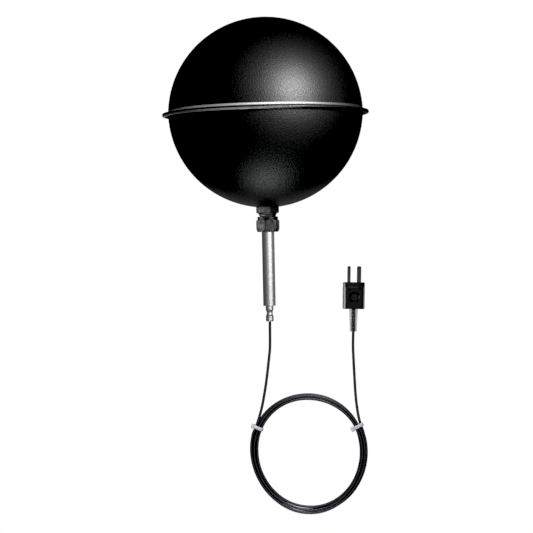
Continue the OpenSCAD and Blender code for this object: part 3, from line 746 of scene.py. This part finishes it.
# Thermocouple alloy blades: stamped strip, dull grey, brushed along its length by use in sockets
alloy = {
    "tones": ("#6a6a6a", "#828180"), "rough": (0.5, 0.34), "bump": 0.3, "relief": 0.02,
    "scratch": 0.3, "run": 7,
}
contactAlloy, tree, shader, place = newMaterial("stamped_thermocouple_alloy", Metallic=1.0)
runs = addNode(tree, "ShaderNodeMapping", {
    "Vector": place, "Scale": [1 / (alloy[key] * mm) for key in ("scratch", "scratch", "run")],
})
scratch = addNode(tree, "ShaderNodeTexNoise", {
    "Vector": runs.outputs["Vector"], "Scale": 1.0, "Detail": 3.0,
})
linkFinish(tree, shader, alloy, scratch.outputs["Fac"])
for node, name in (("positive_contact", "positiveBlade"), ("negative_contact", "negativeBlade")):
    blade = mergedCopy(node)
    softenEdges(blade, softEdge["blade"])
    finishPiece(blade, name, "stem", "contact_alloy", contactAlloy, node)
    plugPieces.append(blade)

# Clear soft PVC: see-through, with a faint haze in the wall and a slightly wavy skin
clear = {"tones": ("#b0b1b0", "#c4c5c4"), "rough": (0.09, 0.19), "bump": 0.1, "relief": 0.02, "wave": 2.2}
clearVinyl, tree, shader, place = newMaterial("clear_pvc_sleeve", IOR=1.41, Transmission_Weight=0.97)
wave = addNode(tree, "ShaderNodeTexNoise", {
    "Vector": place, "Scale": 1 / (clear["wave"] * mm), "Detail": 2.0,
})
linkFinish(tree, shader, clear, wave.outputs["Fac"])
dress(clearVinyl, "strain_relief")
print("plug made:", len(plugPieces), "pieces")

# Pale floor below the coil, short of the camera's view, that neither mirrors in the object nor shades it
floor = {
    "height": -0.235, "wide": 1.6, "front": -1.0, "back": 0.2,
    "colour": "#f2f2f2", "rough": 0.8, "glow": 0.8,
}
deselectAll()
floorMiddle = (0, (floor["front"] + floor["back"]) / 2, floor["height"])
bpy.ops.mesh.primitive_plane_add(size=1, location=floorMiddle)
floorObject = bpy.context.object
floorObject.name = "floor"
floorObject.scale = (floor["wide"], floor["back"] - floor["front"], 1)
bpy.ops.object.transform_apply(location=True, rotation=True, scale=True)
floorPaint = newMaterial(
    "pale_floor", Base_Color=linear(floor["colour"]), Roughness=floor["rough"],
    Emission_Color=linear(floor["colour"]), Emission_Strength=floor["glow"],
)[0]
floorObject.data.materials.append(floorPaint)
floorObject.visible_glossy = False
floorObject.visible_diffuse = False
floorObject.visible_shadow = False

# Soft boxes: degrees to the right of the camera and above the level, metres away from the place that each
# looks at, its size and radiance, its colour if not white, what it may light if not all, and what may cast
# its shadow if not all
globe = [nodes[n] for n in ("upper_shell", "lower_shell")]
lowerShell = [nodes["lower_shell"]]
steel = [nodes[n] for n in ("stem_tube", "crimp_sleeve")]
fitting = [unionNut, fittingBody]
atStem = (0, 0, 0)
atFitting = (0, 0, 0.04)
atPlug = (0.065, 0, -0.022)
atCoil = (0.028, 0, -0.142)
lights = {
    "key": {
        "side": 33.2, "height": 24.7, "away": 1.1, "at": (0, 0, 0.12), "size": (0.436, 0.412),
        "radiance": 57.1, "on": globe, "shade": lowerShell,
    },
    "steelStripe": {
        "side": 33, "height": 12, "away": 0.8, "at": atStem, "size": (0.9, 0.36),
        "radiance": 3.5, "on": steel,
    },
    "steelSoft": {
        "side": -16, "height": 12, "away": 0.8, "at": atStem, "size": (0.75, 0.36),
        "radiance": 0.75, "on": steel,
    },
    "cardBelow": {
        "side": 0, "height": -90, "away": 0.75, "at": (-0.006, -0.047, 0), "size": (0.293, 0.293),
        "radiance": 8, "colour": "#f9ffff", "shade": globe,
    },
    "globeUnder": {
        "side": 180, "height": -32, "away": 0.9, "at": (0, 0, 0.1), "size": (0.7, 0.5),
        "radiance": 0.4, "on": globe, "shade": lowerShell,
    },
    "steelLeft": {
        "side": -90, "height": 0, "away": 0.8, "at": atStem, "size": (1.2, 0.8),
        "radiance": 0.1, "on": steel,
    },
    "steelRight": {
        "side": 115, "height": 0, "away": 0.8, "at": atStem, "size": (1.2, 0.8),
        "radiance": 0.2, "on": steel,
    },
    "nutLeft": {
        "side": -78, "height": -5, "away": 0.5, "at": atFitting, "size": (0.45, 0.3),
        "radiance": 2.7, "on": [unionNut],
    },
    "nutTop": {
        "side": -10, "height": 50, "away": 0.5, "at": atFitting, "size": (0.4, 0.3),
        "radiance": 3.2, "on": [unionNut],
    },
    "bodyLeft": {
        "side": -70, "height": -5, "away": 0.5, "at": atFitting, "size": (0.45, 0.3),
        "radiance": 5.5, "on": [fittingBody],
    },
    "fittingFront": {
        "side": 40, "height": 0, "away": 0.6, "at": atFitting, "size": (0.4, 0.3),
        "radiance": 2.2, "on": fitting,
    },
    "plugLeft": {
        "side": -74, "height": 0, "away": 0.6, "at": atPlug, "size": (0.5, 0.5),
        "radiance": 10.5, "on": plugHalves,
    },
    "plugRight": {
        "side": 106, "height": 0, "away": 0.6, "at": atPlug, "size": (0.5, 0.5),
        "radiance": 4, "on": plugHalves,
    },
    "plugFront": {
        "side": 16, "height": 0, "away": 0.8, "at": atPlug, "size": (0.5, 0.5),
        "radiance": 0.6, "on": plugPieces + [nodes["plug_screw"]],
    },
    "plugTop": {
        "side": 0, "height": 80, "away": 0.6, "at": atPlug, "size": (0.4, 0.3),
        "radiance": 7, "on": plugHalves,
    },
    "coilTop": {
        "side": 20, "height": 60, "away": 0.9, "at": atCoil, "size": (0.5, 0.4),
        "radiance": 17, "colour": "#e6e6fc", "on": [cableCord],
    },
    "coilBelow": {
        "side": -5, "height": -60, "away": 0.9, "at": atCoil, "size": (0.5, 0.4),
        "radiance": 2.0, "on": [cableCord],
    },
    "coilFront": {
        "side": 0, "height": 5, "away": 1.2, "at": (0.028, 0, -0.1), "size": (1.2, 1.2),
        "radiance": 1.3, "on": [cableCord],
    },
    "tieFront": {
        "side": -20, "height": 35, "away": 0.9, "at": atCoil, "size": (0.5, 0.4),
        "radiance": 25, "on": tiePieces + [nodes["strain_relief"]],
    },
    "tieBack": {
        "side": 170, "height": 35, "away": 0.9, "at": atCoil, "size": (0.5, 0.4),
        "radiance": 16, "on": tiePieces,
    },
    "backFill": {
        "side": 180, "height": 10, "away": 1.2, "at": (0.03, 0, -0.05), "size": (1.2, 1.2),
        "radiance": 1.0, "on": fitting + plugPieces + [cableCord],
    },
}
for name, light in lights.items():
    side, height = math.radians(light["side"]), math.radians(light["height"])
    way = Vector((math.sin(side) * math.cos(height), -math.cos(side) * math.cos(height), math.sin(height)))
    data = bpy.data.lights.new(name, "AREA")
    data.shape = "RECTANGLE"
    data.size, data.size_y = light["size"]
    data.energy = light["radiance"] * math.pi * data.size * data.size_y
    data.color = linear(light.get("colour", "#ffffff"))[:3]
    lamp = bpy.data.objects.new(name, data)
    lamp.location = Vector(light["at"]) + light["away"] * way
    lamp.rotation_euler = (-way).to_track_quat("-Z", "Y").to_euler()
    lamp.visible_camera = False
    scene.collection.objects.link(lamp)
    for key, linking in (("on", "receiver_collection"), ("shade", "blocker_collection")):
        if key in light:
            chosen = bpy.data.collections.new(name + key.capitalize())
            for piece in light[key]:
                chosen.objects.link(piece)
            setattr(lamp.light_linking, linking, chosen)

# White paper behind for the camera and through the clear sleeve, grey paper on the camera's own side, and
# for the rest a dim room, lighter above and below. The fades are limits of a ray's direction
studio = {
    "back": 0.01, "level": 0.05, "steep": 0.12, "frontFade": (0.2, -0.5), "steepFade": (0.15, 0.6),
    "paper": 1.0, "greyPaper": 0.74, "paperFade": (-0.3, -0.6), "blackPoint": 0.0166,
}
world = bpy.data.worlds.new("studio")
scene.world = world
world.use_nodes = True
tree = world.node_tree
tree.nodes.clear()
path = addNode(tree, "ShaderNodeLightPath")
bounced = addNode(tree, "ShaderNodeMath", {
    0: path.outputs["Glossy Depth"], 1: path.outputs["Diffuse Depth"],
}, operation="ADD")
straight = addNode(tree, "ShaderNodeMath", {0: bounced.outputs[0], 1: 0.5}, operation="LESS_THAN")
through = addNode(tree, "ShaderNodeMath", {
    0: path.outputs["Is Transmission Ray"], 1: straight.outputs[0],
}, operation="MULTIPLY")
seen = addNode(tree, "ShaderNodeMath", {
    0: path.outputs["Is Camera Ray"], 1: through.outputs[0],
}, operation="MAXIMUM")
ray = addNode(tree, "ShaderNodeTexCoord").outputs["Generated"]
heading = addNode(tree, "ShaderNodeSeparateXYZ", {0: ray})
front = addNode(tree, "ShaderNodeMapRange", {
    "Value": heading.outputs["Y"], "From Min": studio["frontFade"][0], "From Max": studio["frontFade"][1],
})
slope = addNode(tree, "ShaderNodeMath", {0: heading.outputs["Z"]}, operation="ABSOLUTE")
glow = addNode(tree, "ShaderNodeMapRange", {
    "Value": slope.outputs[0], "From Min": studio["steepFade"][0], "From Max": studio["steepFade"][1],
    "To Min": studio["level"], "To Max": studio["steep"],
})
dim = addNode(tree, "ShaderNodeMath", {
    0: front.outputs["Result"], 1: glow.outputs["Result"], 2: studio["back"],
}, operation="MULTIPLY_ADD")
papers = addNode(tree, "ShaderNodeMapRange", {
    "Value": heading.outputs["Y"], "From Min": studio["paperFade"][0], "From Max": studio["paperFade"][1],
    "To Min": studio["paper"], "To Max": studio["greyPaper"],
})
white = linear("#ffffff")
room = addNode(tree, "ShaderNodeBackground", {"Color": white, "Strength": dim.outputs[0]})
paper = addNode(tree, "ShaderNodeBackground", {"Color": white, "Strength": papers.outputs["Result"]})
mixed = addNode(tree, "ShaderNodeMixShader", {0: seen.outputs[0], 1: room.outputs[0], 2: paper.outputs[0]})
addNode(tree, "ShaderNodeOutputWorld", {"Surface": mixed.outputs[0]})

# The photograph's hard blacks: everything under the black point prints as black
view = scene.view_settings
view.view_transform = "Standard"
view.use_curve_mapping = True
view.curve_mapping.black_level = [studio["blackPoint"]] * 3
view.curve_mapping.update()
print("studio lit")
